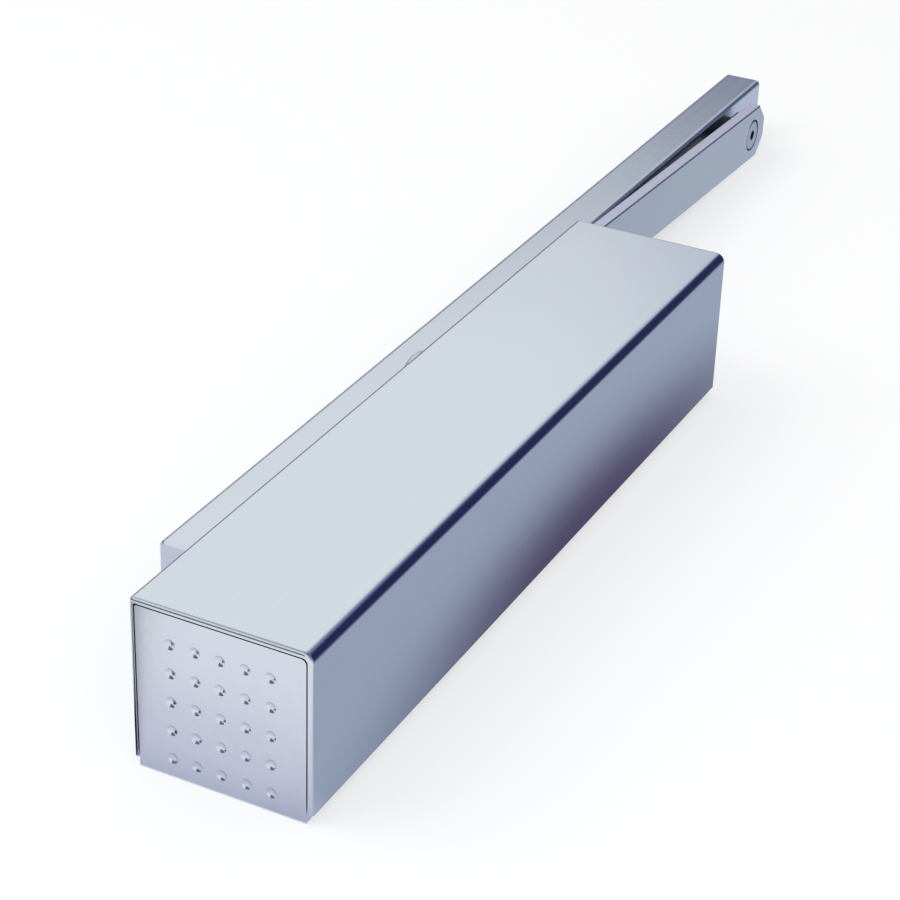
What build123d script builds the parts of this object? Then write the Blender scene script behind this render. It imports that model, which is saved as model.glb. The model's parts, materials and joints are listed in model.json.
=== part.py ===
from build123d import *
from math import acos, atan2, cos, degrees, hypot, pi, radians, sin
import os

os.makedirs("parts", exist_ok=True)

# Slide rail door closer, lying on its back as it leaves the packing: the door face and the
# frame face are both the plane z = 0. x runs along the closer, y points up the door towards
# the slide rail, z points out of the door. The origin is the middle of the four holes that
# fix the closer to the door. Sizes are in millimetres.

# Fits and gaps
running = 0.05  # radial clearance of everything that turns or slides
seat = 0.02  # radial clearance of everything that is pressed or screwed in
contact = 0.05  # end clearance between pieces that bear on each other
fit_gap = 0.4  # visible joint between cover and end caps
cover_gap = 0.3  # between the cover's flanges and the housing
screw_clearance = 0.25  # round the shank and head of a fixing screw

# Closer body: its section follows from the cylinder bore and the walls round it
closer_length = 281.0
bore_radius = 17.0
bore_wall = 1.65  # between the bore and the fixing screws
floor_wall = 4.0  # under the bore
front_wall = 8.5  # over the bore, where the valves are
cover_wall = 1.5
cover_edge_radius = 3.2  # long edge at the underside of the fitted closer
cover_top_radius = 1.4  # long edge on the rail side
cover_end_radius = 1.2  # rounding of the sheet's ends, outside
cover_back_gap = 2.8  # the cover stops this far in front of the door
front_gap = 2.5  # room between housing and cover

# End caps with their pattern of dimples
cap_plate = 3.0
cap_rim_wall = 1.5
cap_rim_depth = 2.2
dimple_rows = 5
dimple_columns = 5
dimple_pitch_y = 7.7
dimple_pitch_z = 9.2
dimple_centre_z = 24.6
dimple_radius = 1.7
dimple_depth = 0.6
peg_radius = 2.4
peg_length = 4.6
peg_clearance = 0.1
peg_from_edge = 5.2

# Mounting plate on the door
plate_margin = 4.0  # the plate is this much shorter than the housing at each end
plate_thickness = 3.5
plate_corner = 2.0
door_hole_radius = 2.75
door_hole_spacing_x = 230.0
door_hole_spacing_y = 24.0
countersink_radius = 5.0
countersink_angle = 90

# Hydraulic housing
housing_edge_radius = 1.5
groove_width = 9.0
groove_depth = 1.6
groove_margin = 8.0
body_screw_radius = 2.5
body_screw_from_end = 10.0
body_screw_edge = 4.8  # from the screw's axis to the housing's side
body_screw_head_radius = 4.25
body_screw_head = 5.0
body_screw_sink = 7.0

# Spindle, cam and the rollers that ride on it
spindle_x = 47.0
journal_radius = 8.0
bearing_radius = 11.0
bearing_inset = 2.0  # from the housing's face to the bearing
roller_radius = 8.0
roller_width = 13.0
roller_pin_radius = 3.0
roller_pin_inset = 2.0  # from the piston's side
cam_width = 13.4
cam_valley_radius = 7.6
cam_bore_gap = 0.3  # between the turning cam's tip and the bore
cam_points = 13
arm_square = 10.5
spindle_thread_radius = 3.0
spindle_thread_depth = 12.0

# Pistons
fork_beyond_pin = 5.5
fork_side_gap = 0.3
roller_pocket_gap = 0.6
closing_crown = 12.8
damper_crown = 15.2
seal_ring_width = 3.0
seal_ring_depth = 2.0
seal_ring_inset = 4.0
spring_boss_gap = 1.5
spring_boss_length = 6.0
check_hole_radius = 2.0
check_chamber_radius = 3.5
check_chamber_depth = 9.8
ball_radius = 2.6
retainer_thickness = 2.0
retainer_hole_radius = 1.2
retainer_inset = 1.8

# Springs
spring_bore_gap = 1.5  # between the closing spring and the bore
closing_wire_radius = 2.5
closing_spring_turns = 13
return_spring_radius = 10.5
return_wire_radius = 0.8
return_spring_turns = 5

# End plugs and the spring adjuster
plug_inset = 1.0
spring_plug_length = 16.0
damper_plug_length = 15.0
plug_seal_inset = 3.5
plug_seal_radius = 1.2
spanner_hole_radius = 1.5
spanner_hole_inset = 4.5
spanner_hole_depth = 4.0
adjuster_radius = 5.0
adjuster_head_radius = 7.0
adjuster_head = 4.0
adjuster_travel = 12.0
circlip_radius = 7.5
circlip_thickness = 1.2
circlip_opening = 3.0
spring_plate_thickness = 4.0
spring_plate_hub = 6.0

# Regulating valves in the front of the housing: closing speed, latching, back check
valve_places = {"closing_speed_valve": (84.0, -12.0), "latching_valve": (104.0, -12.0),
                "back_check_valve": (18.0, -12.0)}
valve_radius = 3.0
valve_inset = 0.6
valve_floor = 1.4  # left under the valve's bore
valve_seat_radius = 1.25
valve_tip_length = 1.6
valve_slot_width = 1.0
valve_slot_depth = 1.2
valve_ring_radius = 0.6

# Clips that hold the cover
clip_x = 66.0  # either side of clip_middle
clip_middle = -12.0
clip_width = 16.0
clip_sheet = 0.8
clip_pocket_depth = 4.0
clip_base_half = 11.0
clip_shoulder_inset = 7.2
clip_end_inset = 4.2
clip_screw_radius = 2.0
clip_screw_head_radius = 3.8
clip_screw_head = 1.8
clip_screw_length = 6.0

# Arm
arm_length = 298.0  # from spindle to pivot
arm_width = 22.5
arm_thickness = 5.0
arm_gap = 10.0  # between the closer's body and the arm
arm_hub_radius = 14.0
arm_tip_length = 14.0
arm_tip_chamfer = 7.0
arm_tip_radius = 2.0
arm_edge_radius = 0.8
square_clearance = 0.05
arm_screw_head_radius = 6.5
arm_screw_head = 3.2
arm_screw_length = 10.0
arm_screw_gap = 1.8  # between the arm's screw and the rail

# Slide block and its pivot screw
pivot_screw_radius = 4.0
pivot_head_radius = 6.1
pivot_head = 2.4
pivot_recess_radius = 6.8
pivot_recess_depth = 2.4
bush_wall = 1.0
bush_flange_radius = 7.0
bush_flange = 0.9
block_half_length = 9.0
shoe_length = 5.0
shoe_peg_radius = 2.5
shoe_peg_length = 3.0
neck_radius = 5.6
block_side_gap = 0.8
shoe_side_gap = 0.3
end_stop_gap = 0.7  # between the slide block's shoe and the rail's far bracket

# Slide rail
rail_length = 450.0
rail_height = 16.0  # along y
rail_depth = 24.0  # along z
rail_lip = 2.0
rail_top_wall = 2.5
rail_side_wall = 2.2
rail_slot_width = 12.0
slot_cover_length = 15.0  # closes each end of the rail's slot
rail_edge_radius = 2.0
rail_cap_length = 10.0
rail_cap_wall = 1.6
rail_cap_chamfer = 0.8
bracket_insert = 8.0
bracket_gap = 0.3
bracket_web = 0.8
tongue_thickness = 3.2
tongue_length = 8.2
rail_hole_radius = 2.75
rail_hole_from_end = 5.6
rail_countersink_radius = 4.6
grub_radius = 2.0
grub_socket = 1.0
buffer_thickness = 6.0
buffer_dome_radius = 4.0

# Sockets for hexagon keys
hex_key_small = 4.0
hex_key_large = 5.0

# Worked out from the sizes above
body_screw_y = bore_radius + bore_wall + screw_clearance + body_screw_radius
housing_side = body_screw_y + body_screw_edge
half_height = housing_side + cover_gap + cover_wall
axis_z = plate_thickness + floor_wall + bore_radius  # height of bore and spindle above the door
housing_front_z = axis_z + bore_radius + front_wall
closer_depth = housing_front_z + front_gap + cover_wall
half_length = closer_length / 2
housing_end = half_length - cap_plate - cap_rim_depth - contact
housing_length = 2 * housing_end
plate_length = housing_length - 2 * plate_margin
plate_height = 2 * housing_side - 1
body_screw_x = housing_end - body_screw_from_end
bearing_length = housing_side - bearing_inset - bore_radius
peg_y = housing_side - peg_from_edge
peg_heights = (plate_thickness + peg_from_edge, housing_front_z - peg_from_edge)
closing_spring_radius = bore_radius - spring_bore_gap - closing_wire_radius  # to the middle of the wire
spring_boss_radius = closing_spring_radius - closing_wire_radius - spring_boss_gap
roller_pin_length = 2 * (bore_radius - roller_pin_inset)
valve_length = front_wall - valve_inset - valve_floor
cam_tip_radius = (bore_radius**2 - (cam_width / 2) ** 2) ** 0.5 - cam_bore_gap
cam_rate = (cam_tip_radius - cam_valley_radius) / pi  # roller travel per radian of the spindle
closing_roller_x = spindle_x - cam_valley_radius - roller_radius
damper_roller_x = spindle_x + cam_tip_radius + roller_radius
arm_bottom_y = half_height + arm_gap
arm_top_y = arm_bottom_y + arm_thickness
rail_bottom_y = arm_top_y + arm_screw_head + arm_screw_gap
rail_top_y = rail_bottom_y + rail_height
rail_middle_y = rail_bottom_y + rail_height / 2
rail_middle_z = rail_depth / 2
pivot_z = rail_middle_z
pivot_x = spindle_x + (arm_length**2 - (axis_z - pivot_z) ** 2) ** 0.5
rail_end_x = (pivot_x + block_half_length + contact + shoe_length + end_stop_gap
              + bracket_insert + rail_cap_length)
rail_start_x = rail_end_x - rail_length
arm_direction = Vector(pivot_x - spindle_x, 0, pivot_z - axis_z).normalized()
pieces = {}


def keep(name, part):
    """Names a finished piece and keeps it for export."""
    part.label = name
    pieces[name] = part


def disc(radius, start, end, across=Plane.YZ, centre=(0, 0)):
    """A plain cylinder between two heights over a plane, as a loose solid."""
    place = across.offset(start) * Pos(*centre)
    return place * Cylinder(radius, end - start, align=(Align.CENTER, Align.CENTER, Align.MIN))


# Planes through the cylinder bore and the spindle: local x is the named axis' side
bore_plane = Plane(origin=(0, 0, axis_z), x_dir=(0, 1, 0), z_dir=(1, 0, 0))
spindle_plane = Plane(origin=(spindle_x, 0, axis_z), x_dir=(1, 0, 0), z_dir=(0, 1, 0))


# Mounting plate
with BuildPart() as mounting_plate:
    with BuildSketch(Plane.XY):
        RectangleRounded(plate_length, plate_height, plate_corner)
    extrude(amount=plate_thickness)
    with Locations(Plane.XY.offset(plate_thickness)):
        with GridLocations(door_hole_spacing_x, door_hole_spacing_y, 2, 2):
            CounterSinkHole(door_hole_radius, countersink_radius, counter_sink_angle=countersink_angle)
        with GridLocations(2 * body_screw_x, 2 * body_screw_y, 2, 2):
            Hole(body_screw_radius + seat)
keep("mounting_plate", mounting_plate.part)

# Hydraulic housing: a block with the cylinder bore, the spindle bore and the valve bores
with BuildPart() as housing:
    with BuildSketch(Plane.XY.offset(plate_thickness)):
        Rectangle(housing_length, 2 * housing_side)
    extrude(amount=housing_front_z - plate_thickness)
    fillet(housing.edges().filter_by(Axis.X), housing_edge_radius)
    with BuildSketch(bore_plane.offset(-housing_end)):
        Circle(bore_radius)
    extrude(amount=housing_length, mode=Mode.SUBTRACT)
    with BuildSketch(spindle_plane.offset(-housing_side)):
        Circle(bearing_radius)
    extrude(amount=2 * housing_side, mode=Mode.SUBTRACT)
    # fixing screws go right through the four corners
    with Locations(Plane.XY.offset(housing_front_z)):
        with GridLocations(2 * body_screw_x, 2 * body_screw_y, 2, 2):
            CounterBoreHole(body_screw_radius + screw_clearance, body_screw_head_radius + screw_clearance,
                            body_screw_sink, housing_front_z)
    # valve bores with their fine holes down into the cylinder
    for valve_x, valve_y in valve_places.values():
        with Locations((valve_x, valve_y, housing_front_z)):
            CounterBoreHole(valve_seat_radius, valve_radius + seat,
                            valve_inset + valve_length, housing_front_z - axis_z)
    # pockets for the cover clips
    for x in (clip_middle - clip_x, clip_middle + clip_x):
        with BuildSketch(Plane.XY.offset(housing_front_z - clip_pocket_depth)):
            with Locations((x, 0)):
                Rectangle(clip_width + 1, 2 * housing_side)
        extrude(amount=clip_pocket_depth, mode=Mode.SUBTRACT)
        with Locations((x, 0, housing_front_z - clip_pocket_depth)):
            Hole(clip_screw_radius + seat, clip_screw_length)
    # peg holes for the end caps
    for side in (-1, 1):
        with BuildSketch(Plane.YZ.offset(side * housing_end)):
            with Locations([(y, z) for y in (-peg_y, peg_y) for z in peg_heights]):
                Circle(peg_radius + peg_clearance)
        extrude(amount=-side * (peg_length + 2 * peg_clearance), mode=Mode.SUBTRACT)
    # casting grooves along both sides, either side of the spindle
    for side in (-1, 1):
        for start, end in ((-body_screw_x + groove_margin, spindle_x - bearing_radius - groove_margin),
                           (spindle_x + bearing_radius + groove_margin, body_screw_x - groove_margin)):
            with BuildSketch(Plane.XZ.offset(side * housing_side)):
                with Locations(((start + end) / 2, axis_z)):
                    SlotOverall(end - start, groove_width)
            extrude(amount=-side * groove_depth, mode=Mode.SUBTRACT)
keep("hydraulic_housing", housing.part)

# Screws that hold the housing on the plate
with BuildPart() as housing_screws:
    with BuildSketch(Plane.XY.offset(contact)):
        with GridLocations(2 * body_screw_x, 2 * body_screw_y, 2, 2):
            Circle(body_screw_radius)
    extrude(amount=housing_front_z - body_screw_sink)
    with BuildSketch(Plane.XY.offset(housing_front_z - body_screw_sink + contact)):
        with GridLocations(2 * body_screw_x, 2 * body_screw_y, 2, 2):
            Circle(body_screw_head_radius)
    extrude(amount=body_screw_head)
    with BuildSketch(Plane.XY.offset(housing_front_z - body_screw_sink + contact + body_screw_head)):
        with GridLocations(2 * body_screw_x, 2 * body_screw_y, 2, 2):
            RegularPolygon(hex_key_small / 2, 6, major_radius=False)
    extrude(amount=-body_screw_head / 2, mode=Mode.SUBTRACT)
keep("housing_screws", housing_screws.part)

# Cover: a bent sheet channel with a notch that passes over the spindle
with BuildPart() as cover:
    with BuildSketch(Plane.YZ.offset(-half_length)):
        with BuildLine():
            FilletPolyline((-half_height, cover_back_gap), (-half_height, closer_depth),
                           (half_height, closer_depth), (half_height, cover_back_gap),
                           radius=(cover_edge_radius, cover_top_radius))
            Line((half_height, cover_back_gap), (-half_height, cover_back_gap))
        make_face()
        with BuildLine():
            inner_side = half_height - cover_wall
            inner_top = closer_depth - cover_wall
            FilletPolyline((-inner_side, 0), (-inner_side, inner_top), (inner_side, inner_top),
                           (inner_side, 0), radius=(cover_edge_radius - cover_wall, cover_top_radius / 2))
            Line((inner_side, 0), (-inner_side, 0))
        make_face(mode=Mode.SUBTRACT)
    extrude(amount=closer_length)
    outer_ends = [edge for edge in cover.faces().filter_by(Axis.X).edges()
                  if edge.center().Z > cover_back_gap + contact
                  and (abs(edge.center().Y) > inner_side + cover_wall / 4
                       or edge.center().Z > inner_top + cover_wall / 4)]
    fillet(outer_ends, cover_end_radius)
    notch_half = journal_radius + cap_plate + 2
    with BuildSketch(Plane.XZ.offset(-half_height - 1)):
        with Locations((spindle_x, axis_z)):
            Circle(notch_half)
        with Locations((spindle_x, axis_z)):
            Rectangle(2 * notch_half, axis_z, align=(Align.CENTER, Align.MAX))
    extrude(amount=cover_wall + 2, mode=Mode.SUBTRACT)
keep("cover", cover.part)

# End caps: a plate with five by five dimples, set between the flanges of the cover
cap_side = half_height - cover_wall - fit_gap
cap_top = closer_depth - cover_wall - fit_gap
sphere_radius = (dimple_radius**2 + dimple_depth**2) / (2 * dimple_depth)
for cap_name, side in (("spring_end_cap", -1), ("damper_end_cap", 1)):
    with BuildPart() as end_cap:
        with BuildSketch(Plane.YZ.offset(side * half_length)):
            with BuildLine():
                FilletPolyline((-cap_side, 0), (-cap_side, cap_top), (cap_side, cap_top), (cap_side, 0),
                               radius=(cover_edge_radius - cover_wall, cover_top_radius / 2))
                Line((cap_side, 0), (-cap_side, 0))
            make_face()
        extrude(amount=-side * cap_plate)
        # stiffening rim on the inside
        with BuildSketch(Plane.YZ.offset(side * (half_length - cap_plate))):
            with Locations((0, cap_top / 2)):
                Rectangle(2 * cap_side - 1, cap_top - 2)
                Rectangle(2 * cap_side - 1 - 2 * cap_rim_wall, cap_top - 2 - 2 * cap_rim_wall,
                          mode=Mode.SUBTRACT)
        extrude(amount=-side * cap_rim_depth)
        with BuildSketch(Plane.YZ.offset(side * (half_length - cap_plate))):
            with Locations([(y, z) for y in (-peg_y, peg_y) for z in peg_heights]):
                Circle(peg_radius)
        extrude(amount=-side * (cap_rim_depth + contact + peg_length))
        with Locations(Plane.YZ.offset(side * (half_length + sphere_radius - dimple_depth))):
            with Locations((0, dimple_centre_z)):
                with GridLocations(dimple_pitch_y, dimple_pitch_z, dimple_columns, dimple_rows):
                    Sphere(sphere_radius, mode=Mode.SUBTRACT)
    keep(cap_name, end_cap.part)

# End plugs of the cylinder, with a ring seal in a groove
spring_plug_outer = -housing_end + plug_inset
damper_plug_outer = housing_end - plug_inset


def plug_profile(outer, length, side):
    """Half section of an end plug in the plane through the bore: along x, and out from its axis."""
    inner = outer - side * length
    groove = inner + side * plug_seal_inset
    groove_far = groove + side * 2 * plug_seal_radius
    rim = bore_radius - seat
    deep = rim - 2 * plug_seal_radius
    return [(inner, 0), (inner, rim), (groove, rim), (groove, deep), (groove_far, deep),
            (groove_far, rim), (outer, rim), (outer, 0), (inner, 0)]


section_plane = Plane(origin=(0, 0, axis_z), x_dir=(1, 0, 0), z_dir=(0, -1, 0))
bore_axis = Axis((0, 0, axis_z), (1, 0, 0))
with BuildPart() as spring_plug:
    with BuildSketch(section_plane):
        with BuildLine():
            Polyline(*plug_profile(spring_plug_outer, spring_plug_length, -1))
        make_face()
    revolve(axis=bore_axis)
    with BuildSketch(bore_plane.offset(spring_plug_outer)):
        Circle(adjuster_radius + running)
    extrude(amount=spring_plug_length, mode=Mode.SUBTRACT)
    with BuildSketch(bore_plane.offset(spring_plug_outer)):
        Circle(adjuster_head_radius + screw_clearance)
    extrude(amount=adjuster_head + 0.2, mode=Mode.SUBTRACT)
    with BuildSketch(bore_plane.offset(spring_plug_outer)):
        with PolarLocations(bore_radius - spanner_hole_inset, 4):
            Circle(spanner_hole_radius)
    extrude(amount=spanner_hole_depth, mode=Mode.SUBTRACT)
keep("spring_end_plug", spring_plug.part)

with BuildPart() as damper_plug:
    with BuildSketch(section_plane):
        with BuildLine():
            Polyline(*plug_profile(damper_plug_outer, damper_plug_length, 1))
        make_face()
    revolve(axis=bore_axis)
    with BuildSketch(bore_plane.offset(damper_plug_outer)):
        RegularPolygon(hex_key_large, 6, major_radius=False)
    extrude(amount=-5, mode=Mode.SUBTRACT)
keep("damper_end_plug", damper_plug.part)

spring_seal_x = spring_plug_outer + spring_plug_length - plug_seal_inset - plug_seal_radius
damper_seal_x = damper_plug_outer - damper_plug_length + plug_seal_inset + plug_seal_radius
for seal_name, seal_x in (("spring_plug_seal", spring_seal_x), ("damper_plug_seal", damper_seal_x)):
    with BuildPart() as plug_seal:
        with BuildSketch(section_plane):
            with Locations((seal_x, bore_radius - seat - plug_seal_radius)):
                Circle(plug_seal_radius - seat)
        revolve(axis=bore_axis)
    keep(seal_name, plug_seal.part)

# Spring adjuster: the screw turns in the plug and draws the spring plate along
adjuster_seat_x = spring_plug_outer + adjuster_head + 0.2
plug_inner_x = spring_plug_outer + spring_plug_length
spring_plate_face_x = plug_inner_x + circlip_thickness + 4 * contact + spring_plate_thickness
adjuster_tip_x = spring_plate_face_x + spring_plate_hub + adjuster_travel + adjuster_radius / 2
with BuildPart() as adjusting_screw:
    with BuildSketch(bore_plane.offset(adjuster_seat_x + contact)):
        Circle(adjuster_radius)
    extrude(amount=adjuster_tip_x - adjuster_seat_x)
    with BuildSketch(bore_plane.offset(adjuster_seat_x - contact)):
        Circle(adjuster_head_radius)
    extrude(amount=-adjuster_head)
    with BuildSketch(bore_plane.offset(adjuster_seat_x - contact)):
        Circle(adjuster_radius)
    extrude(amount=2 * contact)
    with BuildSketch(bore_plane.offset(adjuster_seat_x - contact - adjuster_head)):
        RegularPolygon(hex_key_large / 2, 6, major_radius=False)
    extrude(amount=adjuster_head - 0.5, mode=Mode.SUBTRACT)
    chamfer(adjusting_screw.faces().sort_by(Axis.X)[-1].edges(), 1)
keep("spring_adjusting_screw", adjusting_screw.part)

with BuildPart() as adjuster_circlip:
    with BuildSketch(bore_plane.offset(plug_inner_x + contact)):
        Circle(circlip_radius)
        Circle(adjuster_radius + seat, mode=Mode.SUBTRACT)
        with Locations((circlip_radius, 0)):
            Rectangle(2 * circlip_radius, circlip_opening, mode=Mode.SUBTRACT)
    extrude(amount=circlip_thickness)
keep("adjuster_circlip", adjuster_circlip.part)

with BuildPart() as spring_plate:
    with BuildSketch(bore_plane.offset(spring_plate_face_x - spring_plate_thickness)):
        Circle(bore_radius - 2 * running)
    extrude(amount=spring_plate_thickness)
    with BuildSketch(bore_plane.offset(spring_plate_face_x)):
        Circle(spring_boss_radius)
    extrude(amount=spring_plate_hub)
    with BuildSketch(bore_plane.offset(spring_plate_face_x - spring_plate_thickness)):
        Circle(adjuster_radius + seat)
    extrude(amount=spring_plate_thickness + spring_plate_hub, mode=Mode.SUBTRACT)
keep("spring_plate", spring_plate.part)


# Pistons: a crown with a seal groove, and a fork that carries the roller
def piston_blank(roller_x, crown, side):
    """Cylinder from the fork's tip to the end of the crown, in the bore. side points away from the cam."""
    tip = roller_x - side * fork_beyond_pin
    slot_bottom = roller_x + side * (roller_radius + roller_pocket_gap)
    end = slot_bottom + side * crown
    return tip, slot_bottom, end


closing_tip, closing_slot, closing_end = piston_blank(closing_roller_x, closing_crown, -1)
damper_tip, damper_slot, damper_end = piston_blank(damper_roller_x, damper_crown, 1)
piston_places = {"closing_piston": (closing_roller_x, closing_tip, closing_slot, closing_end, -1),
                 "damper_piston": (damper_roller_x, damper_tip, damper_slot, damper_end, 1)}
for piston_name, (roller_x, tip, slot_bottom, end, side) in piston_places.items():
    ring_x = end - side * (seal_ring_inset + seal_ring_width)
    with BuildPart() as piston:
        with BuildSketch(bore_plane.offset(tip)):
            Circle(bore_radius - running)
        extrude(amount=end - tip if side > 0 else -(tip - end))
        with BuildSketch(bore_plane.offset(ring_x)):
            Circle(bore_radius)
            Circle(bore_radius - running - seal_ring_depth, mode=Mode.SUBTRACT)
        extrude(amount=side * seal_ring_width, mode=Mode.SUBTRACT)
        with BuildSketch(bore_plane.offset(tip)):
            Rectangle(roller_width + 2 * fork_side_gap, 2 * bore_radius)
        extrude(amount=slot_bottom - tip, mode=Mode.SUBTRACT)
        with BuildSketch(Plane.XZ.offset(-bore_radius)):
            with Locations((roller_x, axis_z)):
                Circle(roller_pin_radius + seat)
        extrude(amount=2 * bore_radius, mode=Mode.SUBTRACT)
        if side < 0:
            with BuildSketch(bore_plane.offset(end)):
                Circle(spring_boss_radius)
            extrude(amount=side * spring_boss_length)
        else:
            with BuildSketch(bore_plane.offset(slot_bottom)):
                Circle(check_hole_radius)
            extrude(amount=end - slot_bottom, mode=Mode.SUBTRACT)
            with BuildSketch(bore_plane.offset(end)):
                Circle(check_chamber_radius)
            extrude(amount=-check_chamber_depth, mode=Mode.SUBTRACT)
    keep(piston_name, piston.part)

    with BuildPart() as seal_ring:
        with BuildSketch(bore_plane.offset(ring_x + side * contact)):
            Circle(bore_radius - seat)
            Circle(bore_radius - running - seal_ring_depth + seat, mode=Mode.SUBTRACT)
        extrude(amount=side * (seal_ring_width - 2 * contact))
    keep(piston_name + "_ring", seal_ring.part)

    pin_plane = Plane.XZ.offset(-roller_pin_length / 2)
    with BuildPart() as roller_pin:
        with BuildSketch(pin_plane):
            with Locations((roller_x, axis_z)):
                Circle(roller_pin_radius)
        extrude(amount=roller_pin_length)
        chamfer(roller_pin.edges(), 0.4)
    keep(piston_name.replace("piston", "roller_pin"), roller_pin.part)

    with BuildPart() as roller:
        with BuildSketch(Plane.XZ.offset(-roller_width / 2)):
            with Locations((roller_x, axis_z)):
                Circle(roller_radius)
                Circle(roller_pin_radius + running, mode=Mode.SUBTRACT)
        extrude(amount=roller_width)
    keep(piston_name.replace("piston", "roller"), roller.part)

# Check valve in the crown of the damper piston: a ball on its seat, held by a drilled disc
chamber_x = damper_end - check_chamber_depth
ball_x = chamber_x + (ball_radius**2 - check_hole_radius**2) ** 0.5 + 2 * contact
with BuildPart() as check_ball:
    with Locations((ball_x, 0, axis_z)):
        Sphere(ball_radius)
keep("check_valve_ball", check_ball.part)
with BuildPart() as ball_retainer:
    with BuildSketch(bore_plane.offset(damper_end - retainer_inset - retainer_thickness)):
        Circle(check_chamber_radius - seat)
        Circle(retainer_hole_radius, mode=Mode.SUBTRACT)
    extrude(amount=retainer_thickness)
keep("check_valve_retainer", ball_retainer.part)


# Springs: a helix whose first and last coil bear on the seats
def coil_spring(start, end, radius, wire, turns):
    """A round wire spring along the bore between two seats."""
    length = end - start - 2 * wire
    path = bore_plane.offset(start + wire) * Helix(length / turns, length, radius)
    with BuildPart() as coil:
        with BuildSketch(Plane(origin=path @ 0, z_dir=path % 0)):
            Circle(wire)
        sweep(path=path, is_frenet=True)
    return coil.part


keep("closing_spring", coil_spring(spring_plate_face_x + contact, closing_end - contact,
                                   closing_spring_radius, closing_wire_radius, closing_spring_turns))
keep("return_spring", coil_spring(damper_end + contact, damper_plug_outer - damper_plug_length - contact,
                                  return_spring_radius, return_wire_radius, return_spring_turns))


# Heart cam: its edge is the rollers' spiral path, moved in by their radius
def cam_edge(angle):
    """Point of the cam's edge at an angle from the valley, which points to -x."""
    clear_radius = roller_radius + running
    path_radius = cam_valley_radius + roller_radius + cam_rate * angle
    slope = hypot(path_radius, cam_rate)
    out = (-cos(angle), sin(angle))
    along = (sin(angle), cos(angle))
    share_out = path_radius - clear_radius * path_radius / slope
    share_along = clear_radius * cam_rate / slope
    return (out[0] * share_out + along[0] * share_along, out[1] * share_out + along[1] * share_along)


tip_angle = pi
for _ in range(12):  # where the edge meets its mirror image at the tip
    tip_angle -= atan2(-cam_edge(tip_angle)[1], cam_edge(tip_angle)[0])
valley = cam_edge(0)
valley_bottom = (-(cam_valley_radius - running), 0)
cam_side = [cam_edge(tip_angle * step / (cam_points - 1)) for step in range(cam_points)]
with BuildPart() as spindle:
    with BuildSketch(Plane(origin=(spindle_x, -cam_width / 2, axis_z), x_dir=(1, 0, 0), z_dir=(0, -1, 0))):
        with BuildLine():
            upper = Spline(*cam_side)
            ThreePointArc(valley, valley_bottom, (valley[0], -valley[1]))
            mirror(upper, about=Plane.XZ)
        make_face()
    extrude(amount=-cam_width)
    lower_end = -housing_side + bearing_inset + contact
    with BuildSketch(spindle_plane.offset(lower_end)):
        Circle(journal_radius)
    extrude(amount=-lower_end - cam_width / 2)
    with BuildSketch(spindle_plane.offset(cam_width / 2)):
        Circle(journal_radius)
    extrude(amount=arm_bottom_y - contact - cam_width / 2)
    with BuildSketch(spindle_plane.offset(arm_bottom_y - contact)):
        RectangleRounded(arm_square, arm_square, 1)
    extrude(amount=arm_thickness - 3 * contact)
    with BuildSketch(spindle_plane.offset(arm_top_y)):
        Circle(spindle_thread_radius + seat)
    extrude(amount=-spindle_thread_depth, mode=Mode.SUBTRACT)
keep("cam_spindle", spindle.part)

# Spindle bearings, seal and the cap under the lower bearing
for bearing_name, bearing_y in (("lower_bearing", -housing_side + bearing_inset),
                                ("upper_bearing", housing_side - bearing_inset - bearing_length)):
    with BuildPart() as bearing:
        with BuildSketch(spindle_plane.offset(bearing_y)):
            Circle(bearing_radius - seat)
            Circle(journal_radius + running, mode=Mode.SUBTRACT)
        extrude(amount=bearing_length)
    keep(bearing_name, bearing.part)
with BuildPart() as spindle_seal:
    with BuildSketch(spindle_plane.offset(housing_side - bearing_inset + contact)):
        Circle(bearing_radius - seat)
        Circle(journal_radius + running, mode=Mode.SUBTRACT)
    extrude(amount=bearing_inset - contact)
keep("spindle_seal", spindle_seal.part)
with BuildPart() as bearing_cap:
    with BuildSketch(spindle_plane.offset(-housing_side)):
        Circle(bearing_radius - seat)
    extrude(amount=bearing_inset - contact)
keep("bearing_cap", bearing_cap.part)

# Regulating valves and their seal rings
valve_top = housing_front_z - valve_inset
for valve_name, (valve_x, valve_y) in valve_places.items():
    with BuildPart() as valve:
        with BuildSketch(Plane.XY.offset(valve_top - valve_length + contact)):
            with Locations((valve_x, valve_y)):
                Circle(valve_radius)
        extrude(amount=valve_length - contact)
        with Locations((valve_x, valve_y, valve_top - valve_length + contact)):
            Cone(valve_seat_radius - 0.65, valve_seat_radius - 0.15, valve_tip_length,
                 align=(Align.CENTER, Align.CENTER, Align.MAX))
        ring_height = valve_top - valve_length / 2
        with BuildSketch(Plane.XY.offset(ring_height - valve_ring_radius)):
            with Locations((valve_x, valve_y)):
                Circle(valve_radius + 1)
                Circle(valve_radius - 2 * valve_ring_radius, mode=Mode.SUBTRACT)
        extrude(amount=2 * valve_ring_radius, mode=Mode.SUBTRACT)
        with BuildSketch(Plane.XY.offset(valve_top)):
            with Locations((valve_x, valve_y)):
                Rectangle(2 * valve_radius, valve_slot_width)
        extrude(amount=-valve_slot_depth, mode=Mode.SUBTRACT)
    keep(valve_name, valve.part)
with BuildPart() as valve_seals:
    for valve_x, valve_y in valve_places.values():
        with Locations((valve_x, valve_y, ring_height)):
            Torus(valve_radius - valve_ring_radius, valve_ring_radius - seat)
keep("valve_seals", valve_seals.part)

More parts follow.
